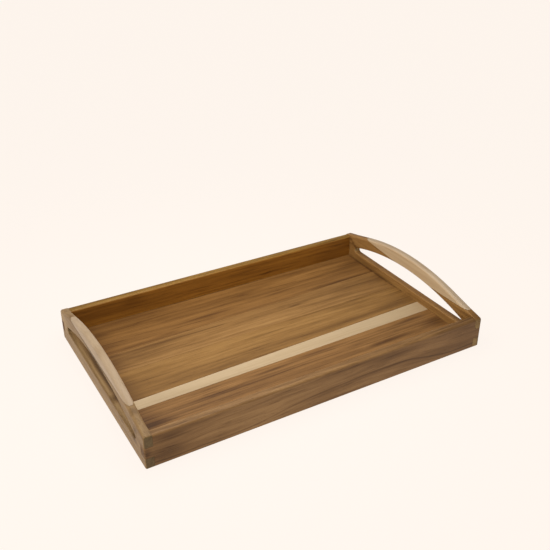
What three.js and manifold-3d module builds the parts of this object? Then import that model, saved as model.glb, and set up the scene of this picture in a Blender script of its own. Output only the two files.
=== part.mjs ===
// A wooden serving tray: two long walls and two arched end panels, finger-jointed at the corners,
// around a floor of edge-glued boards whose tongue sits in a groove. Each end panel is a teak board
// with a hand slot through it and a cap of light wood glued along the top of its arch, and one light
// strip is glued between two of the floor's teak boards.
//
// Millimetres, +Z up. X runs along the tray, from the left end panel to the right one, and Y runs
// across it, from the front wall to the back wall. The origin is under the tray's middle, on the
// surface that it stands on.

import * as THREE from 'three';
import { mergeVertices } from 'three/addons/utils/BufferGeometryUtils.js';
import Module from 'manifold-3d';

const wasm = await Module();
wasm.setup();

// Driving dimensions: the whole tray.
const LENGTH = 508;
const WIDTH = 320;
const WALL_HEIGHT = 46.2;
const ARCH_HEIGHT = 74;
const ARCH_RADIUS = 405;
const LONG_WALL_THICKNESS = 12;
const END_PANEL_THICKNESS = 11;

// Driving dimensions: the floor, the tongue round its edge and the groove that holds the tongue.
const GROOVE_BOTTOM = 4;
const GROOVE_TOP = 9;
const GROOVE_DEPTH = 5;
const FLOOR_THICKNESS = 7.8;
const TONGUE_THICKNESS = 4.8;
const TONGUE_END_CLEARANCE = 0.5;
const FLOOR_SHOULDER_CLEARANCE = 0.3;
const SEAM_GAP = 0.1;

// The floor's seams, from front to back. Each runs straight from the left end to the right end,
// and none is quite square to the ends, so the light strip is a long wedge.
const SEAMS = [
  { left: -67.8, right: -61.6 },
  { left: -49.6, right: -35.6 },
  { left: 16, right: 20 },
  { left: 62, right: 78 },
];

// Driving dimensions: the hand slots and the caps.
const SLOT_BOTTOM = 23.2;
const SLOT_ARCH_RADIUS = 405;
const SLOT_END_RADIUS = 4.8;
const HANDLE_DEPTH = 20.4;
const CAP_GAP = 0.3;
const CAP_LINES = {
  left: { lowestY: 0, lowestZ: 58, radius: 30000 },
  right: { lowestY: -85, lowestZ: 50.1, radius: 1700 },
};

// Driving dimensions: rounded edges.
const HANDLE_EDGE_RADIUS = 4;
const SLOT_EDGE_RADIUS = 1.5;
const WALL_TOP_RADIUS = 3;
const INNER_CORNER_RADIUS = 0.8;
const BOTTOM_EDGE_RADIUS = 1.5;
const UPRIGHT_EDGE_RADIUS = 2;

// The arch's rounding is full over the handle and fades out at the corners, between these two
// distances in from the tray's long sides.
const ARCH_FADE_START = 24;
const ARCH_FADE_END = 6;

// How finely curves are divided, how far cutters run past what they cut, and how near two corners
// of a mesh lie when they are one.
const ARCH_STEPS = 32;
const ROUNDING_STEPS = 4;
const CUTTER_OVERRUN = 2;
const SAME_CORNER = 1e-4;

// Sizes that follow from the driving dimensions.
const HALF_LENGTH = LENGTH / 2;
const HALF_WIDTH = WIDTH / 2;
const FINGER_HEIGHT = WALL_HEIGHT / 3;
const ARCH_RISE = ARCH_HEIGHT - WALL_HEIGHT;
const ARCH_CENTRE_Z = ARCH_HEIGHT - ARCH_RADIUS;
const SLOT_ARCH_CENTRE_Z = ARCH_HEIGHT - HANDLE_DEPTH - SLOT_ARCH_RADIUS;
const INNER_HALF_LENGTH = HALF_LENGTH - END_PANEL_THICKNESS;
const INNER_HALF_WIDTH = HALF_WIDTH - LONG_WALL_THICKNESS;
const TONGUE_END_X = INNER_HALF_LENGTH + GROOVE_DEPTH - TONGUE_END_CLEARANCE;
const TONGUE_END_Y = INNER_HALF_WIDTH + GROOVE_DEPTH - TONGUE_END_CLEARANCE;

// The arch is round over the handle. Past the tail's start it runs straight down, along the tangent
// that meets the corner of the long wall's top.
const CORNER_ABOVE_CENTRE = ARCH_RADIUS - ARCH_RISE;
const CORNER_DISTANCE = Math.hypot(HALF_WIDTH, CORNER_ABOVE_CENTRE);
const TAIL_ANGLE = Math.atan2(HALF_WIDTH, CORNER_ABOVE_CENTRE)
  - Math.acos(ARCH_RADIUS / CORNER_DISTANCE);
const TAIL_START_Y = ARCH_RADIUS * Math.sin(TAIL_ANGLE);

// ---------------------------------------------------------------------------------------------
// Materials

function wood(name, color, roughness) {
  const material = new THREE.MeshStandardMaterial({ color, roughness, metalness: 0 });
  material.name = name;
  return material;
}

const teakFrame = () => wood('frame_teak', 0x8a6238, 0.55);
const teakFloor = () => wood('floor_teak', 0x9a7144, 0.5);
const lightWood = () => wood('light_wood', 0xcfae7e, 0.5);

// ---------------------------------------------------------------------------------------------
// Outlines, as lists of points in the Y-Z plane, counter-clockwise seen from +X

// How far a face with a rounded edge of this radius stands back, at this depth in from the face
// that the edge rounds over to.
function roundingInset(radius, depth) {
  if (depth >= radius) {
    return 0;
  }
  return radius - Math.sqrt(radius ** 2 - (radius - depth) ** 2);
}

function arcPoints(centreY, centreZ, radius, startAngle, endAngle, steps) {
  const points = [];
  for (let i = 0; i <= steps; i += 1) {
    const angle = startAngle + ((endAngle - startAngle) * i) / steps;
    points.push(new THREE.Vector2(
      centreY + radius * Math.cos(angle),
      centreZ + radius * Math.sin(angle),
    ));
  }
  return points;
}

function archHeightAt(y) {
  const roundY = Math.min(Math.abs(y), TAIL_START_Y);
  const roundZ = ARCH_CENTRE_Z + Math.sqrt(ARCH_RADIUS ** 2 - roundY ** 2);
  return roundZ - (Math.abs(y) - roundY) * Math.tan(TAIL_ANGLE);
}

// The end panel's outline, with its top edge lowered by topInset(y) and its two upright ends
// brought in by endInset.
function endPanelOutline(topInset, endInset, bottomInset) {
  const halfWidth = HALF_WIDTH - endInset;
  const bottomCentreY = halfWidth - BOTTOM_EDGE_RADIUS;
  const bottomCentreZ = bottomInset + BOTTOM_EDGE_RADIUS;
  const rightBottom = arcPoints(
    bottomCentreY, bottomCentreZ, BOTTOM_EDGE_RADIUS, -Math.PI / 2, 0, ROUNDING_STEPS,
  );
  const topCentreY = halfWidth - WALL_TOP_RADIUS;
  const topCentreZ = archHeightAt(topCentreY) - topInset(topCentreY) - WALL_TOP_RADIUS;
  const rightTop = arcPoints(
    topCentreY, topCentreZ, WALL_TOP_RADIUS, 0, Math.PI / 2, ROUNDING_STEPS,
  );
  const arch = [];
  for (let i = 1; i < ARCH_STEPS; i += 1) {
    const y = topCentreY * (1 - (2 * i) / ARCH_STEPS);
    arch.push(new THREE.Vector2(y, archHeightAt(y) - topInset(y)));
  }
  const mirrored = (points) => points.map((p) => new THREE.Vector2(-p.x, p.y)).reverse();
  return [...rightBottom, ...rightTop, ...arch, ...mirrored(rightTop), ...mirrored(rightBottom)];
}

// The hand slot's outline, grown outwards by this much: a straight lower edge, an arched upper
// edge, and narrow round ends that run smoothly into both.
function slotOutline(growth) {
  const endCentreZ = SLOT_BOTTOM + SLOT_END_RADIUS;
  const endRise = endCentreZ - SLOT_ARCH_CENTRE_Z;
  const endCentreY = Math.sqrt((SLOT_ARCH_RADIUS - SLOT_END_RADIUS) ** 2 - endRise ** 2);
  const endRadius = SLOT_END_RADIUS + growth;
  const meetingAngle = Math.atan2(endRise, endCentreY);
  const rightEnd = arcPoints(
    endCentreY, endCentreZ, endRadius, -Math.PI / 2, meetingAngle, 2 * ROUNDING_STEPS,
  );
  const topRadius = SLOT_ARCH_RADIUS + growth;
  const top = arcPoints(
    0, SLOT_ARCH_CENTRE_Z, topRadius, meetingAngle, Math.PI - meetingAngle, ARCH_STEPS,
  );
  const leftEnd = rightEnd.map((p) => new THREE.Vector2(-p.x, p.y)).reverse();
  return [...rightEnd, ...top.slice(1, -1), ...leftEnd];
}

// A long wall's section, with its outer face at y = 0 and its inner face at +thickness. Both top
// edges and the outer bottom edge are rounded.
function longWallOutline(outerInset) {
  const right = LONG_WALL_THICKNESS;
  const innerTop = arcPoints(
    right - WALL_TOP_RADIUS, WALL_HEIGHT - WALL_TOP_RADIUS, WALL_TOP_RADIUS,
    0, Math.PI / 2, ROUNDING_STEPS,
  );
  const outerTop = arcPoints(
    outerInset + WALL_TOP_RADIUS, WALL_HEIGHT - WALL_TOP_RADIUS, WALL_TOP_RADIUS,
    Math.PI / 2, Math.PI, ROUNDING_STEPS,
  );
  const outerBottom = arcPoints(
    outerInset + BOTTOM_EDGE_RADIUS, BOTTOM_EDGE_RADIUS, BOTTOM_EDGE_RADIUS,
    Math.PI, 1.5 * Math.PI, ROUNDING_STEPS,
  );
  return [new THREE.Vector2(right, 0), ...innerTop, ...outerTop, ...outerBottom];
}

// ---------------------------------------------------------------------------------------------
// Solids

// A closed mesh through outlines that stand at rising x and have the same number of points.
function loftAlongX(sections) {
  const count = sections[0].outline.length;
  const positions = [];
  for (const { x, outline } of sections) {
    for (const point of outline) {
      positions.push(x, point.x, point.y);
    }
  }
  const indices = [];
  for (let s = 0; s < sections.length - 1; s += 1) {
    for (let i = 0; i < count; i += 1) {
      const near = s * count + i;
      const nearNext = s * count + ((i + 1) % count);
      indices.push(near, nearNext, nearNext + count, near, nearNext + count, near + count);
    }
  }
  const last = (sections.length - 1) * count;
  for (const [a, b, c] of THREE.ShapeUtils.triangulateShape(sections[0].outline, [])) {
    indices.push(c, b, a);
  }
  for (const [a, b, c] of THREE.ShapeUtils.triangulateShape(sections.at(-1).outline, [])) {
    indices.push(last + a, last + b, last + c);
  }
  const geometry = new THREE.BufferGeometry();
  geometry.setAttribute('position', new THREE.Float32BufferAttribute(positions, 3));
  geometry.setIndex(indices);
  return geometry;
}

function toSolid(geometry) {
  const bare = geometry.clone();
  bare.deleteAttribute('normal');
  bare.deleteAttribute('uv');
  const merged = mergeVertices(bare, SAME_CORNER);
  return new wasm.Manifold(new wasm.Mesh({
    numProp: 3,
    vertProperties: new Float32Array(merged.attributes.position.array),
    triVerts: new Uint32Array(merged.index.array),
  }));
}

function toGeometry(solid) {
  const mesh = solid.getMesh();
  const geometry = new THREE.BufferGeometry();
  geometry.setAttribute('position', new THREE.BufferAttribute(mesh.vertProperties, 3));
  geometry.setIndex(new THREE.BufferAttribute(mesh.triVerts, 1));
  const faceted = geometry.toNonIndexed();
  faceted.computeVertexNormals();
  return faceted;
}

function block(min, max) {
  const geometry = new THREE.BoxGeometry(max[0] - min[0], max[1] - min[1], max[2] - min[2]);
  geometry.translate((min[0] + max[0]) / 2, (min[1] + max[1]) / 2, (min[2] + max[2]) / 2);
  return toSolid(geometry);
}

// Depths in from a face at which a rounded edge of this radius is divided.
function roundingDepths(radius) {
  const depths = [];
  for (let i = 0; i <= ROUNDING_STEPS; i += 1) {
    depths.push(radius * (1 - Math.cos((Math.PI / 2) * (i / ROUNDING_STEPS))));
  }
  return depths;
}

// ---------------------------------------------------------------------------------------------
// The end panels, each in its own frame: outer face at x = 0, inner face at +thickness

// Rounding along the arch. It is full over the handle and fades towards the corners, where the
// long walls' tops run into the panel.
function archEdgeRadius(y, cornerRadius) {
  const fade = THREE.MathUtils.smoothstep(
    Math.abs(y), HALF_WIDTH - ARCH_FADE_START, HALF_WIDTH - ARCH_FADE_END,
  );
  return THREE.MathUtils.lerp(HANDLE_EDGE_RADIUS, cornerRadius, fade);
}

function endPanelBlank() {
  const sections = [];
  for (const depth of roundingDepths(HANDLE_EDGE_RADIUS)) {
    sections.push({
      x: depth,
      outline: endPanelOutline(
        (y) => roundingInset(archEdgeRadius(y, WALL_TOP_RADIUS), depth),
        roundingInset(UPRIGHT_EDGE_RADIUS, depth),
        roundingInset(BOTTOM_EDGE_RADIUS, depth),
      ),
    });
  }
  for (const depth of roundingDepths(HANDLE_EDGE_RADIUS).reverse()) {
    sections.push({
      x: END_PANEL_THICKNESS - depth,
      outline: endPanelOutline(
        (y) => roundingInset(archEdgeRadius(y, INNER_CORNER_RADIUS), depth), 0, 0,
      ),
    });
  }
  return toSolid(loftAlongX(sections));
}

// The hand slot as a cutter, flared at both faces so that the slot's edges come out rounded.
function slotCutter() {
  const depths = roundingDepths(SLOT_EDGE_RADIUS);
  const flare = (depth) => slotOutline(roundingInset(SLOT_EDGE_RADIUS, depth));
  const sections = [{ x: -CUTTER_OVERRUN, outline: slotOutline(SLOT_EDGE_RADIUS) }];
  for (const depth of depths) {
    sections.push({ x: depth, outline: flare(depth) });
  }
  for (const depth of [...depths].reverse()) {
    sections.push({ x: END_PANEL_THICKNESS - depth, outline: flare(depth) });
  }
  sections.push({
    x: END_PANEL_THICKNESS + CUTTER_OVERRUN,
    outline: slotOutline(SLOT_EDGE_RADIUS),
  });
  return toSolid(loftAlongX(sections));
}

// Everything above the cap's glue line, which sags slightly along the panel, shifted up by this
// much. In the panel's own frame, y runs from one corner to the other.
function aboveGlueLine(line, shift) {
  const reach = HALF_WIDTH + CUTTER_OVERRUN;
  const outline = [];
  for (let i = 0; i <= ARCH_STEPS; i += 1) {
    const y = reach * ((2 * i) / ARCH_STEPS - 1);
    const rise = (y - line.lowestY) ** 2 / (2 * line.radius);
    outline.push(new THREE.Vector2(y, line.lowestZ + rise + shift));
  }
  const clearTop = ARCH_HEIGHT + HANDLE_DEPTH;
  outline.push(new THREE.Vector2(reach, clearTop));
  outline.push(new THREE.Vector2(-reach, clearTop));
  return toSolid(loftAlongX([
    { x: -CUTTER_OVERRUN, outline },
    { x: END_PANEL_THICKNESS + CUTTER_OVERRUN, outline },
  ]));
}

// The socket at one corner that takes the long wall's middle finger.
function fingerSocket(side) {
  const near = side * INNER_HALF_WIDTH;
  const far = side * (HALF_WIDTH + CUTTER_OVERRUN);
  return block(
    [-CUTTER_OVERRUN, Math.min(near, far), FINGER_HEIGHT],
    [END_PANEL_THICKNESS + CUTTER_OVERRUN, Math.max(near, far), 2 * FINGER_HEIGHT],
  );
}

// The floor's groove in the inner face. It stops short of the panel's ends.
function endPanelGroove() {
  const halfRun = INNER_HALF_WIDTH + GROOVE_DEPTH;
  return block(
    [END_PANEL_THICKNESS - GROOVE_DEPTH, -halfRun, GROOVE_BOTTOM],
    [END_PANEL_THICKNESS + CUTTER_OVERRUN, halfRun, GROOVE_TOP],
  );
}

function makeEndPanel(side, line) {
  const slotted = endPanelBlank().subtract(slotCutter());
  const board = slotted
    .subtract(aboveGlueLine(line, -CAP_GAP / 2))
    .subtract(fingerSocket(-1))
    .subtract(fingerSocket(1))
    .subtract(endPanelGroove());
  const cap = slotted.intersect(aboveGlueLine(line, CAP_GAP / 2));

  const panel = new THREE.Group();
  const boardMesh = new THREE.Mesh(toGeometry(board), teakFrame());
  boardMesh.name = `${side}_end_board`;
  const capMesh = new THREE.Mesh(toGeometry(cap), lightWood());
  capMesh.name = `${side}_handle_cap`;
  panel.add(boardMesh, capMesh);
  return panel;
}

// ---------------------------------------------------------------------------------------------
// The long walls, in their own frame: outer face at y = 0, inner face at +thickness

function longWallBlank() {
  const depths = roundingDepths(UPRIGHT_EDGE_RADIUS);
  const sections = [];
  for (const depth of depths) {
    const outline = longWallOutline(roundingInset(UPRIGHT_EDGE_RADIUS, depth));
    sections.push({ x: -HALF_LENGTH + depth, outline });
  }
  for (const depth of [...depths].reverse()) {
    const outline = longWallOutline(roundingInset(UPRIGHT_EDGE_RADIUS, depth));
    sections.push({ x: HALF_LENGTH - depth, outline });
  }
  return toSolid(loftAlongX(sections));
}

// The two notches at one end that leave the wall's middle finger standing.
function fingerNotches(side) {
  const near = side * INNER_HALF_LENGTH;
  const far = side * (HALF_LENGTH + CUTTER_OVERRUN);
  const minX = Math.min(near, far);
  const maxX = Math.max(near, far);
  const minY = -CUTTER_OVERRUN;
  const maxY = LONG_WALL_THICKNESS + CUTTER_OVERRUN;
  const lower = block([minX, minY, -CUTTER_OVERRUN], [maxX, maxY, FINGER_HEIGHT]);
  const upper = block(
    [minX, minY, 2 * FINGER_HEIGHT], [maxX, maxY, WALL_HEIGHT + CUTTER_OVERRUN],
  );
  return lower.add(upper);
}

function makeLongWall(name) {
  const groove = block(
    [-HALF_LENGTH, LONG_WALL_THICKNESS - GROOVE_DEPTH, GROOVE_BOTTOM],
    [HALF_LENGTH, LONG_WALL_THICKNESS + CUTTER_OVERRUN, GROOVE_TOP],
  );
  const solid = longWallBlank()
    .subtract(fingerNotches(-1))
    .subtract(fingerNotches(1))
    .subtract(groove);
  const mesh = new THREE.Mesh(toGeometry(solid), teakFrame());
  mesh.name = name;
  return mesh;
}

// ---------------------------------------------------------------------------------------------
// The floor: teak boards and one light strip, glued edge to edge between the slanting seams

// The floor as one slab: its face lies between the walls, and its tongue runs into their grooves.
function floorSlab() {
  const faceX = INNER_HALF_LENGTH - FLOOR_SHOULDER_CLEARANCE;
  const faceY = INNER_HALF_WIDTH - FLOOR_SHOULDER_CLEARANCE;
  const face = block(
    [-faceX, -faceY, GROOVE_BOTTOM],
    [faceX, faceY, GROOVE_BOTTOM + FLOOR_THICKNESS],
  );
  const tongue = block(
    [-TONGUE_END_X, -TONGUE_END_Y, GROOVE_BOTTOM],
    [TONGUE_END_X, TONGUE_END_Y, GROOVE_BOTTOM + TONGUE_THICKNESS],
  );
  return face.add(tongue);
}

// Everything between two seams, less half of the glue line at each.
function betweenSeams(frontSeam, backSeam) {
  const halfGap = SEAM_GAP / 2;
  const plan = new THREE.Shape([
    new THREE.Vector2(-TONGUE_END_X, frontSeam.left + halfGap),
    new THREE.Vector2(TONGUE_END_X, frontSeam.right + halfGap),
    new THREE.Vector2(TONGUE_END_X, backSeam.right - halfGap),
    new THREE.Vector2(-TONGUE_END_X, backSeam.left - halfGap),
  ]);
  const depth = GROOVE_BOTTOM + FLOOR_THICKNESS + CUTTER_OVERRUN;
  return toSolid(new THREE.ExtrudeGeometry(plan, { depth, bevelEnabled: false }));
}

function makeFloor() {
  const tongueEnd = TONGUE_END_Y + CUTTER_OVERRUN;
  const frontEdge = { left: -tongueEnd, right: -tongueEnd };
  const backEdge = { left: tongueEnd, right: tongueEnd };
  const lines = [frontEdge, ...SEAMS, backEdge];
  const names = [
    'floor_front_board',
    'floor_light_strip',
    'floor_middle_board',
    'floor_rear_middle_board',
    'floor_back_board',
  ];
  const slab = floorSlab();
  const floor = new THREE.Group();
  names.forEach((name, i) => {
    const board = slab.intersect(betweenSeams(lines[i], lines[i + 1]));
    const material = name === 'floor_light_strip' ? lightWood() : teakFloor();
    const mesh = new THREE.Mesh(toGeometry(board), material);
    mesh.name = name;
    floor.add(mesh);
  });
  return floor;
}

// ---------------------------------------------------------------------------------------------
// Assembly

const tray = new THREE.Group();

const leftPanel = makeEndPanel('left', CAP_LINES.left);
leftPanel.position.x = -HALF_LENGTH;

// The right panel is turned half round, so its glue line is stated from the other corner.
const rightLine = { ...CAP_LINES.right, lowestY: -CAP_LINES.right.lowestY };
const rightPanel = makeEndPanel('right', rightLine);
rightPanel.position.x = HALF_LENGTH;
rightPanel.rotation.z = Math.PI;

const frontWall = makeLongWall('front_wall');
frontWall.position.y = -HALF_WIDTH;

const backWall = makeLongWall('back_wall');
backWall.position.y = HALF_WIDTH;
backWall.rotation.z = Math.PI;

tray.add(leftPanel, rightPanel, frontWall, backWall, makeFloor());

export default tray;
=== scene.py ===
"""A wooden serving tray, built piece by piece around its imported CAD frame.

Every size is in millimetres until a mesh is made, and +X runs along the tray, +Y across it from
the front wall to the back wall, and +Z up. Sizes that the frame gives are read from it.
"""

import math
from dataclasses import dataclass, field, replace
from typing import NamedTuple

import bpy
import numpy as np
from mathutils import Matrix, Vector


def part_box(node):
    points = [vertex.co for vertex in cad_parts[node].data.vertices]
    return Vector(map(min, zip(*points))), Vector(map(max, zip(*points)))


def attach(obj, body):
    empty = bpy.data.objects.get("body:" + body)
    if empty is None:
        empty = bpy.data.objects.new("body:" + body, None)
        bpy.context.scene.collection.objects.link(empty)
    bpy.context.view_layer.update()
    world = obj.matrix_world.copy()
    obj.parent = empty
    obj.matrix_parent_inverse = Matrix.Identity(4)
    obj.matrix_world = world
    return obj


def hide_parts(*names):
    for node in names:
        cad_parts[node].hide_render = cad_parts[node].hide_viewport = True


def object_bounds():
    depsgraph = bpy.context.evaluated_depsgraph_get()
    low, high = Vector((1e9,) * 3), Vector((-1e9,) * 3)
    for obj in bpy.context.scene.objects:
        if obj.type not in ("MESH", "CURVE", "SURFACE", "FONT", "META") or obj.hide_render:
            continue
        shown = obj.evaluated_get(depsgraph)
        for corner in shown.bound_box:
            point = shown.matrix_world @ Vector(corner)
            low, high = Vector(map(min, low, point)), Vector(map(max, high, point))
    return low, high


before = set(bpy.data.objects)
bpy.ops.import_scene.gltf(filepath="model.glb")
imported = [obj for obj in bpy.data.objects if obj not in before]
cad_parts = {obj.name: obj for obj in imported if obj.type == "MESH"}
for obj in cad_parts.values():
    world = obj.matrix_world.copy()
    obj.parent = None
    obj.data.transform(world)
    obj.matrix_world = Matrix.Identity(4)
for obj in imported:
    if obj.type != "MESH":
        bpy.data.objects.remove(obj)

CAD_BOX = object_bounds()
MM = 0.001

# --------------------------------------------------------------------------------------------
# Sizes from the frame


def node_box(node):
    """A CAD node's lowest and highest corners, in millimetres."""
    low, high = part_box(node)
    return np.array(low) / MM, np.array(high) / MM


def node_corners(node):
    """Every corner of a CAD node's mesh, in millimetres."""
    return np.array([vertex.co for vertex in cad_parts[node].data.vertices]) / MM


tray_high = np.array(CAD_BOX[1]) / MM
wall_low, wall_high = node_box("front_wall")
panel_low, panel_high = node_box("left_end_board")
floor_low, floor_high = node_box("floor_back_board")
_, strip_high = node_box("floor_light_strip")

HALF_LENGTH, HALF_WIDTH, ARCH_HEIGHT = (float(value) for value in tray_high)
WALL_HEIGHT = float(wall_high[2])
WALL_THICKNESS = float(wall_high[1] - wall_low[1])
PANEL_THICKNESS = float(panel_high[0] - panel_low[0])
FLOOR_BOTTOM = float(floor_low[2])
FLOOR_TOP = float(floor_high[2])
TONGUE_END_X = float(strip_high[0])

# --------------------------------------------------------------------------------------------
# Sizes that the design gives

ARCH_RADIUS = 405.0
SLOT_BOTTOM = 23.2
SLOT_ARCH_RADIUS = 405.0
SLOT_END_RADIUS = 4.8
HANDLE_DEPTH = 20.4
TONGUE_THICKNESS = 4.8
SHOULDER_CLEARANCE = 0.3
GROOVE_TOP = 9.0
GROOVE_DEPTH = 5.0

HANDLE_EDGE_RADIUS = 4.0
SLOT_EDGE_RADIUS = 1.5
WALL_TOP_RADIUS = 3.0
INNER_CORNER_RADIUS = 0.8
BOTTOM_EDGE_RADIUS = 1.5
UPRIGHT_EDGE_RADIUS = 2.0
ARCH_FADE_START = 24.0
ARCH_FADE_END = 6.0

# The glue lines sag slightly along each panel, about a lowest point.
LEFT_GLUE_LINE = {"lowest_y": 0.0, "lowest_z": 58.0, "radius": 30000.0}
RIGHT_GLUE_LINE = {"lowest_y": -85.0, "lowest_z": 50.1, "radius": 1700.0}

# Hairline gaps of the joints, and the eased edges of the floor boards.
GLUE_GAP = 0.35
JOINT_GAP = 0.20
SEAM_GAP = 0.06
SEAM_EASE = 0.35

# How finely curves are divided, and how far cutters run past what they cut.
ARCH_STEPS = 128
ROUNDING_STEPS = 8
OVERRUN = 2.0
SMOOTH_BELOW = math.radians(32)

FINGER_HEIGHT = WALL_HEIGHT / 3
ARCH_RISE = ARCH_HEIGHT - WALL_HEIGHT
ARCH_CENTRE_Z = ARCH_HEIGHT - ARCH_RADIUS
SLOT_ARCH_CENTRE_Z = ARCH_HEIGHT - HANDLE_DEPTH - SLOT_ARCH_RADIUS
INNER_HALF_LENGTH = HALF_LENGTH - PANEL_THICKNESS
INNER_HALF_WIDTH = HALF_WIDTH - WALL_THICKNESS

# The arch is round over the handle. Past the tail's start it runs straight down, along the tangent
# that meets the corner of the long wall's top.
CORNER_ABOVE_CENTRE = ARCH_RADIUS - ARCH_RISE
CORNER_DISTANCE = math.hypot(HALF_WIDTH, CORNER_ABOVE_CENTRE)
TAIL_ANGLE = math.atan2(HALF_WIDTH, CORNER_ABOVE_CENTRE) - math.acos(ARCH_RADIUS / CORNER_DISTANCE)
TAIL_START_Y = ARCH_RADIUS * math.sin(TAIL_ANGLE)

# --------------------------------------------------------------------------------------------
# Outlines: arrays of (y, z) points, counter-clockwise seen from +X


def rounding_inset(radius, depth):
    """How far a face stands back, this deep in from the face that its edge rounds over to."""
    return radius - np.sqrt(np.maximum(0.0, radius**2 - np.maximum(0.0, radius - depth) ** 2))


def rounding_depths(radius):
    """Depths in from a face at which an edge of this radius is divided."""
    return radius * (1 - np.cos(np.linspace(0, math.pi / 2, ROUNDING_STEPS + 1)))


def arc(centre_y, centre_z, radius, start, end, steps):
    """Points along an arc between two angles, both ends included."""
    angles = np.linspace(start, end, steps + 1)
    return np.stack([centre_y + radius * np.cos(angles), centre_z + radius * np.sin(angles)], -1)


def mirrored(points):
    """The same outline on the other side of y = 0, in the order that keeps it turning one way."""
    return (points * (-1, 1))[::-1]


def arch_height(y):
    """The height of the arch's top at this y: round over the handle, and straight past it."""
    round_y = np.minimum(np.abs(y), TAIL_START_Y)
    round_z = ARCH_CENTRE_Z + np.sqrt(ARCH_RADIUS**2 - round_y**2)
    return round_z - (np.abs(y) - round_y) * math.tan(TAIL_ANGLE)


def smoothstep(low, high, value):
    """Nought below low, one above high, and a smooth step between them."""
    t = np.clip((value - low) / (high - low), 0, 1)
    return t * t * (3 - 2 * t)


def arch_edge_radius(y, corner_radius):
    """Rounding along the arch: full over the handle, fading out towards the corners."""
    fade = smoothstep(HALF_WIDTH - ARCH_FADE_START, HALF_WIDTH - ARCH_FADE_END, np.abs(y))
    return HANDLE_EDGE_RADIUS + (corner_radius - HANDLE_EDGE_RADIUS) * fade


def panel_outline(depth, corner_radius, end_inset, bottom_inset):
    """An end panel's outline where its faces stand back this far from their full size."""
    def top_inset(y):
        return rounding_inset(arch_edge_radius(y, corner_radius), depth)

    half_width = HALF_WIDTH - end_inset
    bottom = arc(
        half_width - BOTTOM_EDGE_RADIUS, bottom_inset + BOTTOM_EDGE_RADIUS, BOTTOM_EDGE_RADIUS,
        -math.pi / 2, 0, ROUNDING_STEPS,
    )
    corner_y = half_width - WALL_TOP_RADIUS
    corner_z = arch_height(corner_y) - top_inset(corner_y) - WALL_TOP_RADIUS
    corner = arc(corner_y, corner_z, WALL_TOP_RADIUS, 0, math.pi / 2, ROUNDING_STEPS)
    arch_y = np.linspace(corner_y, -corner_y, ARCH_STEPS + 1)[1:-1]
    arch = np.stack([arch_y, arch_height(arch_y) - top_inset(arch_y)], -1)
    return np.concatenate([bottom, corner, arch, mirrored(corner), mirrored(bottom)])


def slot_outline(growth):
    """The hand slot, grown outwards by this much: a straight lower edge, an arched upper edge, and
    narrow round ends that run smoothly into both."""
    end_z = SLOT_BOTTOM + SLOT_END_RADIUS
    rise = end_z - SLOT_ARCH_CENTRE_Z
    end_y = math.sqrt((SLOT_ARCH_RADIUS - SLOT_END_RADIUS) ** 2 - rise**2)
    meeting = math.atan2(rise, end_y)
    end = arc(end_y, end_z, SLOT_END_RADIUS + growth, -math.pi / 2, meeting, 2 * ROUNDING_STEPS)
    top = arc(
        0, SLOT_ARCH_CENTRE_Z, SLOT_ARCH_RADIUS + growth, meeting, math.pi - meeting, ARCH_STEPS,
    )
    return np.concatenate([end, top[1:-1], mirrored(end)])


def long_wall_outline(outer_inset):
    """A long wall's section, with its outer face at y = 0 and its inner face at +thickness."""
    def corner(y, z, radius, start):
        return arc(y, z, radius, start, start + math.pi / 2, ROUNDING_STEPS)

    top_z = WALL_HEIGHT - WALL_TOP_RADIUS
    return np.concatenate([
        [(WALL_THICKNESS, 0.0)],
        corner(WALL_THICKNESS - WALL_TOP_RADIUS, top_z, WALL_TOP_RADIUS, 0),
        corner(outer_inset + WALL_TOP_RADIUS, top_z, WALL_TOP_RADIUS, math.pi / 2),
        corner(outer_inset + BOTTOM_EDGE_RADIUS, BOTTOM_EDGE_RADIUS, BOTTOM_EDGE_RADIUS, math.pi),
    ])


# --------------------------------------------------------------------------------------------
# Solids


def add_object(name, points, faces):
    """A mesh object from points in millimetres."""
    mesh = bpy.data.meshes.new(name)
    mesh.from_pydata((np.array(points, float) * MM).tolist(), [], faces)
    made = bpy.data.objects.new(name, mesh)
    bpy.context.scene.collection.objects.link(made)
    return made


def loft(name, sections):
    """A closed solid through (x, outline) sections at rising x, with equal numbers of points."""
    count = len(sections[0][1])
    points = [(x, y, z) for x, outline in sections for y, z in outline]
    faces = []
    for section in range(len(sections) - 1):
        for i in range(count):
            near = section * count + i
            after = section * count + (i + 1) % count
            faces.append((near, after, after + count, near + count))
    last = (len(sections) - 1) * count
    faces.append(tuple(reversed(range(count))))
    faces.append(tuple(range(last, last + count)))
    return add_object(name, points, faces)


def block(low, high):
    """A plain box that cuts another solid."""
    outline = [(low[1], low[2]), (high[1], low[2]), (high[1], high[2]), (low[1], high[2])]
    return loft("cutter", [(low[0], outline), (high[0], outline)])


def side_block(side, near, far, low_y, high_y, low_z, high_z):
    """A cutter that runs from near to far along X, on this side of the middle."""
    xs = sorted((side * near, side * far))
    return block((xs[0], low_y, low_z), (xs[1], high_y, high_z))


def carve(piece, cutter, operation="DIFFERENCE"):
    """Cuts the piece by the cutter, or keeps only what they share, and uses the cutter up."""
    modifier = piece.modifiers.new("carve", "BOOLEAN")
    modifier.solver = "EXACT"
    modifier.operation = operation
    modifier.object = cutter
    bpy.context.view_layer.update()
    depsgraph = bpy.context.evaluated_depsgraph_get()
    carved = bpy.data.meshes.new_from_object(piece.evaluated_get(depsgraph))
    piece.modifiers.clear()
    piece.data = carved
    bpy.data.objects.remove(cutter)


def place(piece, x=0.0, y=0.0, turned=False):
    """Moves a piece's mesh from its own frame into the tray's, turned half round if asked."""
    turn = Matrix.Diagonal((-1, -1, 1, 1)) if turned else Matrix.Identity(4)
    piece.data.transform(Matrix.Translation((x * MM, y * MM, 0)) @ turn)


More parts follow.
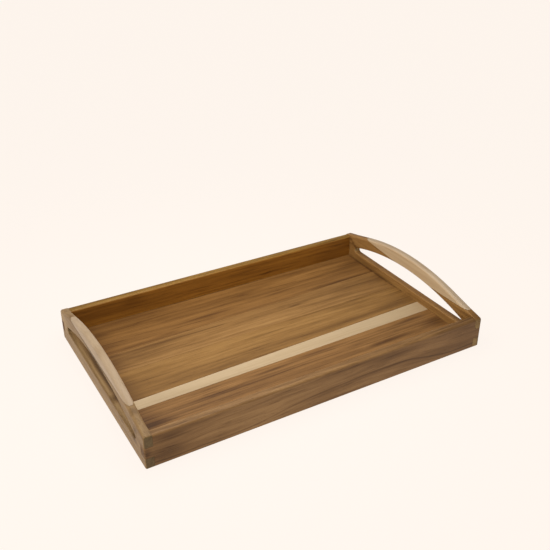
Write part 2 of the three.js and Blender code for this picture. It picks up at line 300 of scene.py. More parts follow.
def finish_surface(piece):
    """Shades curves smooth and keeps flat faces flat and real edges sharp."""
    piece.data.shade_smooth()
    piece.data.set_sharp_from_angle(angle=SMOOTH_BELOW)
    normals = piece.modifiers.new("flat faces stay flat", "WEIGHTED_NORMAL")
    normals.keep_sharp = True


# --------------------------------------------------------------------------------------------
# End panels, each in its own frame: outer face at x = 0, inner face at +thickness


def panel_blank(name):
    """A whole end panel with its edges rounded, before its slot and joints are cut."""
    outer = [
        (depth, panel_outline(
            depth, WALL_TOP_RADIUS,
            rounding_inset(UPRIGHT_EDGE_RADIUS, depth), rounding_inset(BOTTOM_EDGE_RADIUS, depth),
        ))
        for depth in rounding_depths(HANDLE_EDGE_RADIUS)
    ]
    inner = [
        (PANEL_THICKNESS - depth, panel_outline(depth, INNER_CORNER_RADIUS, 0.0, 0.0))
        for depth in reversed(rounding_depths(HANDLE_EDGE_RADIUS))
    ]
    return loft(name, outer + inner)


def slot_cutter():
    """The hand slot as a cutter, flared at both faces so that its edges come out rounded."""
    depths = rounding_depths(SLOT_EDGE_RADIUS)
    widest = slot_outline(SLOT_EDGE_RADIUS)
    sections = [(-OVERRUN, widest)]
    sections += [(d, slot_outline(rounding_inset(SLOT_EDGE_RADIUS, d))) for d in depths]
    sections += [
        (PANEL_THICKNESS - d, slot_outline(rounding_inset(SLOT_EDGE_RADIUS, d)))
        for d in reversed(depths)
    ]
    sections.append((PANEL_THICKNESS + OVERRUN, widest))
    return loft("cutter", sections)


def above_glue_line(line, shift):
    """Everything above the glue line, moved up by this much."""
    y = np.linspace(-HALF_WIDTH - OVERRUN, HALF_WIDTH + OVERRUN, ARCH_STEPS + 1)
    z = line["lowest_z"] + (y - line["lowest_y"]) ** 2 / (2 * line["radius"]) + shift
    clear_top = ARCH_HEIGHT + HANDLE_DEPTH
    outline = np.concatenate([np.stack([y, z], -1), [(y[-1], clear_top), (y[0], clear_top)]])
    return loft("cutter", [(-OVERRUN, outline), (PANEL_THICKNESS + OVERRUN, outline)])


def make_end_board(name, line, x, turned):
    """An end panel below its glue line, with its slot, its finger joints and the floor's groove."""
    board = panel_blank(name)
    carve(board, slot_cutter())
    carve(board, above_glue_line(line, -GLUE_GAP / 2))
    # The long walls' fingers go between this board's two, at either end.
    for side in (-1, 1):
        ys = sorted((side * (INNER_HALF_WIDTH - JOINT_GAP), side * (HALF_WIDTH + OVERRUN)))
        carve(board, block(
            (-OVERRUN, ys[0], FINGER_HEIGHT - JOINT_GAP),
            (PANEL_THICKNESS + OVERRUN, ys[1], 2 * FINGER_HEIGHT + JOINT_GAP),
        ))
    # The floor's tongue lies in a groove.
    half_run = INNER_HALF_WIDTH + GROOVE_DEPTH
    carve(board, block(
        (PANEL_THICKNESS - GROOVE_DEPTH, -half_run, FLOOR_BOTTOM),
        (PANEL_THICKNESS + OVERRUN, half_run, GROOVE_TOP),
    ))
    place(board, x=x, turned=turned)
    return board


def make_handle_cap(name, line, x, turned):
    """An end panel above its glue line."""
    cap = panel_blank(name)
    carve(cap, slot_cutter())
    carve(cap, above_glue_line(line, GLUE_GAP / 2), "INTERSECT")
    place(cap, x=x, turned=turned)
    return cap


# --------------------------------------------------------------------------------------------
# Long walls


def make_long_wall(name, y, turned):
    """A long wall with one finger at each end, at half height, and the floor's groove."""
    depths = rounding_depths(UPRIGHT_EDGE_RADIUS)
    outlines = [long_wall_outline(rounding_inset(UPRIGHT_EDGE_RADIUS, depth)) for depth in depths]
    sections = [(-HALF_LENGTH + d, outline) for d, outline in zip(depths, outlines)]
    sections += [(HALF_LENGTH - d, o) for d, o in zip(reversed(depths), reversed(outlines))]
    wall = loft(name, sections)
    shoulder = INNER_HALF_LENGTH - JOINT_GAP
    beyond = HALF_LENGTH + OVERRUN
    below_and_above_finger = (
        (-OVERRUN, FINGER_HEIGHT), (2 * FINGER_HEIGHT, WALL_HEIGHT + OVERRUN),
    )
    for side in (-1, 1):
        for low_z, high_z in below_and_above_finger:
            carve(wall, side_block(
                side, shoulder, beyond, -OVERRUN, WALL_THICKNESS + OVERRUN, low_z, high_z,
            ))
    carve(wall, block(
        (-beyond, WALL_THICKNESS - GROOVE_DEPTH, FLOOR_BOTTOM),
        (beyond, WALL_THICKNESS + OVERRUN, GROOVE_TOP),
    ))
    place(wall, y=y, turned=turned)
    return wall


# --------------------------------------------------------------------------------------------
# The floor


def board_edges(node):
    """The y of a floor board's front and back edges at its left end, and at its right end."""
    corners = node_corners(node)
    ends = []
    for side in (-1, 1):
        at_end = corners[side * corners[:, 0] > TONGUE_END_X - SHOULDER_CLEARANCE]
        ends.append((at_end[:, 1].min(), at_end[:, 1].max()))
    return ends


def board_outline(front, back):
    """A floor board's section. An edge at a seam has eased corners, and an edge that goes under a
    wall carries the tongue."""
    face_y = INNER_HALF_WIDTH - SHOULDER_CLEARANCE
    tongue_top = FLOOR_BOTTOM + TONGUE_THICKNESS
    gap = SEAM_GAP / 2

    def back_edge(y, under_wall):
        if under_wall:
            return np.array([
                (y, FLOOR_BOTTOM), (y, tongue_top), (face_y, tongue_top), (face_y, FLOOR_TOP),
            ])
        ease = SEAM_EASE
        low = arc(y - gap - ease, FLOOR_BOTTOM + ease, ease, -math.pi / 2, 0, ROUNDING_STEPS // 2)
        top = arc(y - gap - ease, FLOOR_TOP - ease, ease, 0, math.pi / 2, ROUNDING_STEPS // 2)
        return np.concatenate([low, top])

    return np.concatenate([
        back_edge(back, back > face_y),
        mirrored(back_edge(-front, -front > face_y)),
    ])


def make_floor_board(name, node):
    """A floor board whose seams run where the CAD node's do, with a tongue at both ends."""
    (left_front, left_back), (right_front, right_back) = board_edges(node)
    board = loft(name, [
        (-TONGUE_END_X, board_outline(left_front, left_back)),
        (TONGUE_END_X, board_outline(right_front, right_back)),
    ])
    for side in (-1, 1):
        carve(board, side_block(
            side, INNER_HALF_LENGTH - SHOULDER_CLEARANCE, TONGUE_END_X + OVERRUN,
            -HALF_WIDTH, HALF_WIDTH, FLOOR_BOTTOM + TONGUE_THICKNESS, FLOOR_TOP + OVERRUN,
        ))
    return board


# --------------------------------------------------------------------------------------------
# Wood, as a solid material: its rings, streaks and pores run through the piece

# How far apart in the wood two pieces are cut, for each step of the seed.
SEED_STEP = (173.0, 31.0, 57.0)

# The grain's slow waves: waves per millimetre along the grain and across it, and their noise.
WAVER_FREQUENCY = (0.0045, 0.013, 0.013)
WAVER_NOISE = {"detail": 2.0, "rough": 0.45}

# The rings' spacing drifts by up to this many rings, with this many waves per millimetre.
RING_DRIFT = 4.0
RING_DRIFT_NOISE = {"Scale": 0.035, "Detail": 2.0}

# A ring's darkness at points from its start to its end, and the share of it in the faintest ring.
RING_PROFILE = [(0.0, 0.0), (0.45, 0.18), (0.86, 1.0), (0.96, 0.8), (1.0, 0.0)]
FAINTEST_RING = 0.15

# Each pattern's length along the grain and width across it, and the detail of its noise.
STREAKS = {"along": 130.0, "across": 5.0, "detail": 6.0, "rough": 0.65}
BANDS = {"along": 420.0, "across": 34.0, "detail": 2.0, "rough": 0.5}
VEINS = {"along": 75.0, "across": 1.9, "detail": 4.0, "rough": 0.65}
FIBRES = {"along": 26.0, "across": 0.55, "detail": 3.0, "rough": 0.6}
PORES = {"along": 7.0, "across": 0.34, "detail": 1.0, "rough": 0.5}

# The middle of any noise, and the noise at which veins and pores start and are full.
NOISE_MIDDLE = 0.5
VEIN_NOISE = (0.55, 0.68)
PORE_NOISE = (0.60, 0.72)

# How much the streaks break up a spot's edge, and where the spot starts and is full, in reaches.
SPOT_BREAKUP = 1.2
SPOT_EDGE = (1.6, 0.6)

# Where the middle and dark colours lie between the light one at 0 and the deepest one at 1.
MIDDLE_SHADE = 0.42
DARK_SHADE = 0.78

# Parts of the surface normal at which end grain, the upward faces' painted light and shade, and
# wear start and are full.
END_GRAIN_NORMAL = (0.55, 0.95)
UPWARD_NORMAL = (0.25, 0.85)
WEAR_NORMAL = (0.985, 0.78)

# Wear is least where the streaks' noise is low, and full where it is high.
WEAR_STREAKS = (0.35, 0.65)
LEAST_WEAR = 0.3

# What fibres and end grain add to the roughness, what wear takes from it, and the oil's gloss.
FIBRE_ROUGHNESS = 0.16
END_GRAIN_ROUGHNESS = 0.12
WEAR_SMOOTHING = 0.08
OIL_SPECULAR = 0.20

# How deep pores and rings are beside the fibres, and the relief that all of them make.
PORE_DEPTH = 0.9
RING_DEPTH = 0.5
RELIEF = 0.12
RELIEF_STRENGTH = 0.35


@dataclass
class Wood:
    """How one piece of wood looks. Lengths are in millimetres."""

    slot: str
    light: tuple
    middle: tuple
    dark: tuple
    deepest: tuple
    tint: tuple = (1.0, 1.0, 1.0)
    # Where in the wood the piece is cut, and whether its grain runs along Y.
    seed: float = 0.0
    along_y: bool = False
    # The heart of the log, in the plane across the grain, and the rings' spacing about it.
    pith: tuple = (60.0, -90.0)
    spacing: float = 5.0
    # How far the grain wavers, and a swelling of the rings at one place along the piece.
    waver: float = 4.0
    swell: float = 0.0
    swell_x: float = 20.0
    swell_length: float = 110.0
    # The plain shade, and how much each pattern darkens it.
    tone: float = 0.42
    rings: float = 0.40
    streaks: float = 0.55
    bands: float = 0.50
    veins: float = 0.30
    fibres: float = 0.14
    pores: float = 0.35
    spots: list = field(default_factory=list)
    # What is left of each colour on end grain and on upward faces, how much of the light colour
    # worn edges take, and the roughness of the plain surface.
    end_shade: tuple = (0.55, 0.55, 0.55)
    # The upward faces' shares below are painted light and shade.
    crown_painted_light: tuple = (1.0, 1.0, 1.0)
    wear: float = 0.22
    roughness: float = 0.50

    def shift(self):
        """How far the wood is moved in this piece, so that no two pieces have the same figure."""
        return tuple(self.seed * step for step in SEED_STEP)


class Tree:
    """The nodes of a material or a world, wired in short calls."""

    def __init__(self, owner):
        owner.use_nodes = True
        self.tree = owner.node_tree
        self.tree.nodes.clear()

    def add(self, kind, inputs=(), **settings):
        node = self.tree.nodes.new(kind)
        for key, value in settings.items():
            setattr(node, key, value)
        for key, value in dict(inputs).items():
            self.put(node.inputs[key], value)
        return node

    def put(self, socket, value):
        if isinstance(value, bpy.types.NodeSocket):
            self.tree.links.new(value, socket)
        else:
            socket.default_value = value

    def math(self, operation, a, b=0.0, c=0.0):
        return self.add("ShaderNodeMath", {0: a, 1: b, 2: c}, operation=operation).outputs[0]

    def vector(self, operation, a, b=(0.0, 0.0, 0.0)):
        return self.add("ShaderNodeVectorMath", {0: a, 1: b}, operation=operation).outputs["Vector"]

    def vector_number(self, operation, a, b=(0.0, 0.0, 0.0)):
        """A vector operation whose result is one number, such as a length."""
        return self.add("ShaderNodeVectorMath", {0: a, 1: b}, operation=operation).outputs["Value"]

    def parts(self, vector):
        """The X, Y and Z of a vector."""
        return self.add("ShaderNodeSeparateXYZ", {"Vector": vector}).outputs

    def noise(self, place, detail, rough):
        inputs = {"Vector": place, "Scale": 1.0, "Detail": detail, "Roughness": rough}
        return self.add("ShaderNodeTexNoise", inputs, noise_dimensions="3D")

    def ramp(self, factor, stops):
        """A ramp through (position, colour) stops."""
        node = self.add("ShaderNodeValToRGB", {"Fac": factor})
        elements = node.color_ramp.elements
        while len(elements) < len(stops):
            elements.new(0.5)
        for element, (position, colour) in zip(elements, stops):
            element.position = position
            element.color = (*colour, 1.0)
        return node.outputs["Color"]

    def fade(self, value, start, end, low=0.0, high=1.0):
        """Goes smoothly from low, where value is start, to high, where it is end."""
        inputs = {
            "Value": value, "From Min": start, "From Max": end, "To Min": low, "To Max": high,
        }
        node = self.add("ShaderNodeMapRange", inputs, interpolation_type="SMOOTHSTEP")
        return node.outputs["Result"]

    def mix(self, factor, a, b, blend="MIX"):
        """A mix of two colours. Inputs 6 and 7 and output 2 are the node's colour sockets."""
        node = self.add("ShaderNodeMix", data_type="RGBA", blend_type=blend)
        self.put(node.inputs[0], factor)
        self.put(node.inputs[6], a)
        self.put(node.inputs[7], b)
        return node.outputs[2]


def grain_place(t, look, here):
    """Millimetres in the wood's own frame, with X along the grain: once straight, and once
    wavering as real grain does."""
    turn = -math.pi / 2 if look.along_y else 0.0
    inputs = {
        "Vector": here,
        "Location": look.shift(),
        "Rotation": (0.0, 0.0, turn),
        "Scale": (1 / MM,) * 3,
    }
    straight = t.add("ShaderNodeMapping", inputs, vector_type="POINT").outputs["Vector"]
    slow = t.vector("MULTIPLY", straight, WAVER_FREQUENCY)
    sway = t.noise(slow, **WAVER_NOISE).outputs["Color"]
    sway = t.vector("SUBTRACT", sway, (NOISE_MIDDLE,) * 3)
    sway = t.vector("MULTIPLY", sway, (0.0, look.waver * 2, look.waver * 2))
    return straight, t.vector("ADD", straight, sway)


def grain_noise(t, place, along, across, detail, rough):
    """Noise whose features are about this long along the grain and this wide across it."""
    stretched = t.vector("MULTIPLY", place, (1 / along, 1 / across, 1 / across))
    return t.noise(stretched, detail, rough).outputs["Fac"]


def ring_swelling(t, look, place):
    """A shift of the rings that is greatest at one place along the piece."""
    from_middle = t.math("SUBTRACT", t.parts(place)["X"], look.swell_x + look.shift()[0])
    reach = t.math("DIVIDE", from_middle, look.swell_length)
    bell = t.math("EXPONENT", t.math("MULTIPLY", t.math("MULTIPLY", reach, reach), -1.0))
    lift = t.add("ShaderNodeCombineXYZ", {"Z": t.math("MULTIPLY", bell, -look.swell)})
    return lift.outputs["Vector"]


def ring_pattern(t, look, place):
    """Growth rings: each darkens slowly and ends sharply, and no two are alike."""
    _, shift_y, shift_z = look.shift()
    centre = (0.0, look.pith[0] + shift_y, look.pith[1] + shift_z)
    offset = t.vector("MULTIPLY", t.vector("SUBTRACT", place, centre), (0.0, 1.0, 1.0))
    if look.swell:
        offset = t.vector("ADD", offset, ring_swelling(t, look, place))
    radius = t.vector_number("LENGTH", offset)
    drift = t.add(
        "ShaderNodeTexNoise", {"W": radius, **RING_DRIFT_NOISE}, noise_dimensions="1D",
    )
    count = t.math(
        "MULTIPLY_ADD", drift.outputs["Fac"], RING_DRIFT, t.math("DIVIDE", radius, look.spacing),
    )
    grey_profile = [(position, (darkness,) * 3) for position, darkness in RING_PROFILE]
    profile = t.ramp(t.math("FRACT", count), grey_profile)
    own = t.add(
        "ShaderNodeTexWhiteNoise", {"W": t.math("FLOOR", count)}, noise_dimensions="1D",
    ).outputs["Value"]
    squared = t.math("MULTIPLY", own, own)
    strength = t.math("MULTIPLY_ADD", squared, 1 - FAINTEST_RING, FAINTEST_RING)
    return t.math("MULTIPLY", profile, strength)


def add_spots(t, look, here, streaks, shade):
    """The shade with the piece's own streaks and patches and its painted light and shade, all with
    broken edges.
    """
    for spot in look.spots:
        away = t.vector("SUBTRACT", here, tuple(part * MM for part in spot.centre))
        away = t.vector("DIVIDE", away, tuple(part * MM for part in spot.reach))
        reaches = t.vector_number("LENGTH", away)
        broken = t.math("MULTIPLY_ADD", streaks, SPOT_BREAKUP, reaches)
        shade = t.math("MULTIPLY_ADD", t.fade(broken, *SPOT_EDGE), spot.amount, shade)
    return shade


def edge_wear(t, normal):
    """One on rounded edges, where hands and cloths rub, and none on flat faces."""
    parts = t.parts(t.vector("ABSOLUTE", normal))
    largest = t.math("MAXIMUM", t.math("MAXIMUM", parts["X"], parts["Y"]), parts["Z"])
    return t.fade(largest, *WEAR_NORMAL)


def shaded(t, colour, share):
    """The colour with these shares of its red, green and blue left."""
    return t.mix(1.0, colour, (*share, 1.0), "MULTIPLY")


def wood_material(name, look):
    """A wood that looks like this, from its colour and figure to its gloss and relief."""
    material = bpy.data.materials.new(name)
    t = Tree(material)
    coordinates = t.add("ShaderNodeTexCoord").outputs
    here = coordinates["Object"]
    normal = coordinates["Normal"]
    straight, place = grain_place(t, look, here)

    rings = ring_pattern(t, look, place)
    streaks = grain_noise(t, place, **STREAKS)
    bands = grain_noise(t, place, **BANDS)
    veins = t.fade(grain_noise(t, place, **VEINS), *VEIN_NOISE)
    fibres = grain_noise(t, straight, **FIBRES)
    pores = t.fade(grain_noise(t, straight, **PORES), *PORE_NOISE)

    shade = t.math("MULTIPLY_ADD", rings, look.rings, look.tone)
    shade = t.math("MULTIPLY_ADD", veins, look.veins, shade)
    for pattern, weight in ((streaks, look.streaks), (bands, look.bands), (fibres, look.fibres)):
        centred = t.math("SUBTRACT", pattern, NOISE_MIDDLE)
        shade = t.math("MULTIPLY_ADD", centred, 2 * weight, shade)
    shade = add_spots(t, look, here, streaks, shade)
    light, middle, dark, deepest = (
        tuple(part * tint for part, tint in zip(shade_colour, look.tint))
        for shade_colour in (look.light, look.middle, look.dark, look.deepest)
    )
    colour = t.ramp(shade, [
        (0.0, light), (MIDDLE_SHADE, middle), (DARK_SHADE, dark), (1.0, deepest),
    ])
    colour = t.mix(t.math("MULTIPLY", pores, look.pores), colour, (*deepest, 1.0))

    grain_axis = (0.0, 1.0, 0.0) if look.along_y else (1.0, 0.0, 0.0)
    facing = t.math("ABSOLUTE", t.vector_number("DOT_PRODUCT", normal, grain_axis))
    end_grain = t.fade(facing, *END_GRAIN_NORMAL)
    colour = t.mix(end_grain, colour, shaded(t, colour, look.end_shade))
    # Painted light and shade: upward faces take their own shares of each colour.
    upward = t.fade(t.parts(normal)["Z"], *UPWARD_NORMAL)
    colour = t.mix(upward, colour, shaded(t, colour, look.crown_painted_light))
    wear = t.math("MULTIPLY", edge_wear(t, normal), t.fade(streaks, *WEAR_STREAKS, LEAST_WEAR, 1.0))
    colour = t.mix(t.math("MULTIPLY", wear, look.wear), colour, (*light, 1.0))

    plain_roughness = look.roughness - FIBRE_ROUGHNESS / 2
    roughness = t.math("MULTIPLY_ADD", fibres, FIBRE_ROUGHNESS, plain_roughness)
    roughness = t.math("MULTIPLY_ADD", wear, -WEAR_SMOOTHING, roughness)
    roughness = t.math("MULTIPLY_ADD", end_grain, END_GRAIN_ROUGHNESS, roughness)

    height = t.math("MULTIPLY_ADD", pores, -PORE_DEPTH, fibres)
    height = t.math("MULTIPLY_ADD", rings, -RING_DEPTH, height)
    bump = t.add("ShaderNodeBump", {
        "Strength": RELIEF_STRENGTH, "Distance": RELIEF * MM, "Height": height,
    })

    shader = t.add("ShaderNodeBsdfPrincipled", {
        "Base Color": colour, "Roughness": roughness, "Normal": bump.outputs["Normal"],
        "Specular IOR Level": OIL_SPECULAR,
    })
    t.add("ShaderNodeOutputMaterial", {"Surface": shader.outputs["BSDF"]})
    return material


TEAK = Wood(
    slot="frame_teak",
    light=(0.34, 0.20, 0.082),
    middle=(0.225, 0.122, 0.045),
    dark=(0.130, 0.064, 0.020),
    deepest=(0.072, 0.033, 0.010),
)
FLOOR_TEAK = replace(
    TEAK, slot="floor_teak", light=(0.36, 0.21, 0.080), middle=(0.25, 0.135, 0.045),
)
PALE = Wood(
    slot="light_wood",
    light=(0.55, 0.41, 0.25),
    middle=(0.48, 0.35, 0.20),
    dark=(0.38, 0.25, 0.13),
    deepest=(0.22, 0.13, 0.06),
    tone=0.30, rings=0.20, streaks=0.40, bands=0.40, veins=0.08, fibres=0.12, pores=0.12,
    spacing=3.2, waver=2.5, roughness=0.48, end_shade=(0.75, 0.75, 0.75), wear=0.05,
)


class Spot(NamedTuple):
    """A darker streak or patch in a piece's wood, or painted shade; or a lighter one, or painted
    light, if the amount is negative.
    """

    centre: tuple
    reach: tuple
    amount: float


# How far the spots reach into the wood from the face that they are on.
FLOOR_SPOT_DEPTH = 20.0
WALL_SPOT_DEPTH = 30.0


def at_floor(x, y, reach_x, reach_y, amount):
    """A spot in the floor's face."""
    return Spot((x, y, FLOOR_TOP), (reach_x, reach_y, FLOOR_SPOT_DEPTH), amount)


def at_front(x, z, reach_x, reach_z, amount):
    """A spot in the front wall's outer face."""
    return Spot((x, -HALF_WIDTH, z), (reach_x, WALL_SPOT_DEPTH, reach_z), amount)


def at_back(x, z, reach_x, reach_z, amount):
    """A spot in the back wall's inner face."""
    return Spot((x, INNER_HALF_WIDTH, z), (reach_x, WALL_SPOT_DEPTH, reach_z), amount)


def at_panel(side, y, z, reach_y, reach_z, amount):
    """A spot right through an end panel, the left one at side -1 and the right one at +1."""
    return Spot((side * HALF_LENGTH, y, z), (WALL_SPOT_DEPTH, reach_y, reach_z), amount)


# Painted shade along the floor's ends and in the left slot, and the dark line along the left glue
# line.
FLOOR_ENDS_PAINTED_SHADE = [
    # The left panel's painted shadow on the left end; a right end darker from the wood and painted
    # light fall-off.
    at_floor(-250.0, 0.0, 58.0, 400.0, 0.50), at_floor(255.0, 0.0, 80.0, 400.0, 0.12),
    # A painted shadow line along the right panel's foot.
    at_floor(INNER_HALF_LENGTH, 80.0, 6.0, 110.0, 0.45),
]
LEFT_SLOT_SHADE_AND_GLUE_LINE = [
    # Painted shade on the inner part of the slot's lower face, under the handle.
    Spot((-244.5, 15.0, SLOT_BOTTOM), (6.0, 190.0, 4.0), 0.80),
    # A dark line along the left glue line.
    Spot((-250.0, 10.0, LEFT_GLUE_LINE["lowest_z"] - 1.0), (14.0, 150.0, 2.8), 0.95),
]

# The streaks and patches that each board's own figure has, with painted light and shade where
# marked.
FRONT_WALL_FIGURE_AND_PAINTED_LIGHT = [
    # The broad lighter patch at x = -105 is a painted pool of light; the broad dark one at x = 240
    # is painted light fall-off.
    at_front(-222.0, 36.0, 32.0, 7.0, 0.36), at_front(-228.0, 14.0, 42.0, 20.0, 0.36),
    at_front(-105.0, 30.0, 110.0, 60.0, -0.22), at_front(-105.0, 31.0, 62.0, 3.0, 0.24),
    at_front(40.0, 41.0, 100.0, 3.5, 0.30), at_front(105.0, 36.0, 75.0, 8.0, 0.46),
    at_front(110.0, 20.0, 110.0, 4.0, 0.22), at_front(165.0, 14.0, 90.0, 11.0, 0.36),
    at_front(240.0, 23.0, 95.0, 60.0, 0.34), at_front(-252.0, 23.0, 9.0, 10.0, 0.40),
]
BACK_WALL_FIGURE = [
    at_back(-190.0, 32.0, 90.0, 20.0, 0.20), at_back(-145.0, 38.0, 30.0, 14.0, 0.16),
    at_back(195.0, 18.0, 45.0, 12.0, 0.18), at_back(140.0, 38.0, 120.0, 14.0, -0.22),
]
LEFT_BOARD_FIGURE_AND_PAINTED_LIGHT = [
    # The first spot is a painted highlight on the left face's far corner, where it catches the
    # light.
    at_panel(-1, 150.0, 34.0, 26.0, 26.0, -0.30), at_panel(-1, -122.0, 57.0, 9.0, 7.0, 0.40),
    at_panel(-1, -128.0, 22.0, 15.0, 7.0, 0.40), at_panel(-1, 20.0, 14.0, 60.0, 4.0, 0.14),
    at_panel(-1, -134.0, 39.0, 10.0, 5.0, 0.46), at_panel(-1, -84.0, 20.0, 15.0, 4.0, 0.34),
    # Painted light on the outer half of the slot's lower edge, where light comes in from outside,
    # with one dark mark in it.
    Spot((-250.0, 0.0, SLOT_BOTTOM), (6.0, 400.0, 3.0), -0.26),
    Spot((-249.0, -46.0, SLOT_BOTTOM), (9.0, 14.0, 4.0), 0.50),
]
LEFT_CAP_FIGURE = [
    at_panel(-1, -10.0, 74.0, 24.0, 30.0, 0.30), at_panel(-1, 85.0, 66.0, 45.0, 30.0, -0.26),
    at_panel(-1, -95.0, 62.0, 22.0, 30.0, -0.26), at_panel(-1, 40.0, 71.0, 16.0, 3.0, 0.20),
]
# The first three are a dark diagonal line beside the far end of the right slot.
RIGHT_BOARD_FIGURE_AND_PAINTED_SHADE = [
    at_panel(1, 144.0, 42.5, 7.0, 5.0, 0.80), at_panel(1, 138.0, 38.5, 7.0, 5.0, 0.80),
    at_panel(1, 132.0, 34.5, 6.0, 4.5, 0.70), at_panel(1, 70.0, 21.0, 18.0, 4.0, 0.36),
    at_panel(1, 10.0, 14.0, 34.0, 3.5, -0.26), at_panel(1, -125.0, 14.0, 16.0, 5.0, 0.32),
    at_panel(1, 20.0, 18.0, 70.0, 5.0, -0.20), at_panel(1, 95.0, 17.0, 45.0, 4.0, 0.36),
    # The last spot is a painted shadow line along the panel's foot, beside the floor.
    at_panel(1, -155.0, 45.0, 26.0, 13.0, 0.30), at_panel(1, 70.0, 13.0, 90.0, 2.5, 0.40),
]
# The last spot is a painted shadow line along the back wall's foot.
BACK_BOARD_FIGURE_AND_PAINTED_SHADE = [
    at_floor(-55.0, 90.0, 55.0, 4.0, 0.28), at_floor(65.0, 95.0, 45.0, 4.0, 0.22),
    at_floor(-125.0, 75.0, 32.0, 4.0, 0.24), at_floor(200.0, 100.0, 60.0, 9.0, 0.12),
    at_floor(-150.0, 68.0, 130.0, 7.0, 0.32), at_floor(0.0, 73.0, 120.0, 5.0, 0.26),
    at_floor(180.0, 77.5, 110.0, 7.0, 0.50), at_floor(-150.0, 138.0, 120.0, 14.0, 0.30),
    at_floor(150.0, 121.0, 130.0, 18.0, -0.28), at_floor(-50.0, 93.0, 200.0, 10.0, 0.16),
    at_floor(0.0, INNER_HALF_WIDTH, 400.0, 5.0, 0.30),
]
REAR_MIDDLE_FIGURE = [
    at_floor(-150.0, 57.0, 130.0, 10.0, 0.30), at_floor(200.0, 58.0, 90.0, 18.0, 0.10),
    at_floor(125.0, 46.0, 50.0, 12.0, -0.24),
    at_floor(75.0, 50.0, 20.0, 4.0, 0.30), at_floor(-40.0, 36.0, 220.0, 20.0, -0.24),
]
MIDDLE_FIGURE = [
    at_floor(-40.0, 5.0, 200.0, 24.0, -0.10), at_floor(150.0, -27.0, 110.0, 7.0, 0.22),
    at_floor(-100.0, -38.0, 120.0, 5.0, 0.20), at_floor(-90.0, 17.0, 90.0, 3.0, 0.20),
    at_floor(215.0, 10.0, 60.0, 14.0, -0.22), at_floor(210.0, -22.0, 60.0, 14.0, 0.22),
    at_floor(-100.0, -5.0, 60.0, 10.0, -0.20), at_floor(80.0, 5.0, 80.0, 12.0, -0.16),
]
FRONT_BOARD_FIGURE = [
    at_floor(-215.0, -103.0, 42.0, 10.0, 0.42), at_floor(230.0, -95.0, 34.0, 16.0, 0.30),
    at_floor(-40.0, -78.5, 60.0, 3.2, 0.42), at_floor(-120.0, -88.0, 80.0, 3.2, 0.26),
    at_floor(120.0, -101.0, 95.0, 4.0, 0.30), at_floor(205.0, -70.0, 45.0, 4.5, 0.34),
    at_floor(-100.0, -78.0, 50.0, 6.0, -0.15), at_floor(180.0, -74.0, 90.0, 8.0, 0.26),
    at_floor(35.0, -74.0, 80.0, 7.0, 0.34),
    at_floor(150.0, -99.0, 70.0, 6.0, 0.24), at_floor(100.0, -97.0, 22.0, 8.0, -0.24),
]

# The crown shares below paint light and shade on upward faces: lighter tops on the long walls, a
# darker top on the right cap.
LOOKS = {
    "front_wall": replace(TEAK, seed=1.0, pith=(-70.0, -50.0), spacing=4.6, waver=13.0,
                          swell=10.0, tone=0.34, rings=0.55, tint=(0.97, 0.93, 0.87),
                          end_shade=(0.98, 1.0, 1.0), crown_painted_light=(1.12, 1.14, 1.14),
                          spots=FRONT_WALL_FIGURE_AND_PAINTED_LIGHT),
    "back_wall": replace(TEAK, seed=2.0, pith=(40.0, -120.0), spacing=7.0, tone=0.46,
                         rings=0.30, tint=(1.22, 0.92, 0.32), crown_painted_light=(1.02, 1.32, 1.9),
                         spots=BACK_WALL_FIGURE),
    "left_end_board": replace(TEAK, seed=3.0, along_y=True, pith=(-50.0, -60.0), spacing=7.0,
                              waver=8.0, tone=0.24, tint=(0.98, 1.05, 1.09),
                              end_shade=(0.55, 0.60, 0.62),
                              spots=LEFT_SLOT_SHADE_AND_GLUE_LINE + LEFT_BOARD_FIGURE_AND_PAINTED_LIGHT),
    "right_end_board": replace(TEAK, seed=4.0, along_y=True, pith=(60.0, -70.0), spacing=5.0,
                               waver=5.0, tone=0.38, tint=(1.0, 0.90, 0.65),
                               end_shade=(1.1, 1.4, 1.9), spots=RIGHT_BOARD_FIGURE_AND_PAINTED_SHADE),
    "left_handle_cap": replace(PALE, seed=5.0, along_y=True, tone=0.24, tint=(0.74, 0.72, 0.75),
                               spots=LEFT_CAP_FIGURE),
    "right_handle_cap": replace(PALE, seed=6.0, along_y=True, tone=0.34, tint=(1.0, 0.99, 1.0),
                                crown_painted_light=(0.90, 0.94, 1.06)),
    "floor_front_board": replace(FLOOR_TEAK, seed=7.0, spacing=6.0, waver=5.0, rings=0.50,
                                 tone=0.35, tint=(0.98, 0.88, 0.76),
                                 spots=FLOOR_ENDS_PAINTED_SHADE + FRONT_BOARD_FIGURE),
    # The light strip's spot darkens its right end: painted fall-off of the light.
    "floor_light_strip": replace(PALE, seed=8.0, tone=0.22, tint=(0.95, 0.95, 0.95),
                                 spots=[at_floor(255.0, -50.0, 110.0, 400.0, 0.20)]),
    "floor_middle_board": replace(FLOOR_TEAK, seed=9.0, pith=(20.0, -160.0), spacing=7.0,
                                  tone=0.34, rings=0.26, tint=(0.98, 0.91, 0.72),
                                  spots=FLOOR_ENDS_PAINTED_SHADE + MIDDLE_FIGURE),
    "floor_rear_middle_board": replace(FLOOR_TEAK, seed=10.0, pith=(-30.0, -150.0), tone=0.36,
                                       spacing=6.0, rings=0.30, tint=(0.98, 0.91, 0.78),
                                       spots=FLOOR_ENDS_PAINTED_SHADE + REAR_MIDDLE_FIGURE),
    "floor_back_board": replace(FLOOR_TEAK, seed=11.0, pith=(50.0, -110.0), tone=0.44,
                                spacing=6.5, rings=0.34, tint=(0.96, 0.84, 0.66),
                                spots=FLOOR_ENDS_PAINTED_SHADE + BACK_BOARD_FIGURE_AND_PAINTED_SHADE),
}

# --------------------------------------------------------------------------------------------
# Stage, lights and camera, in metres

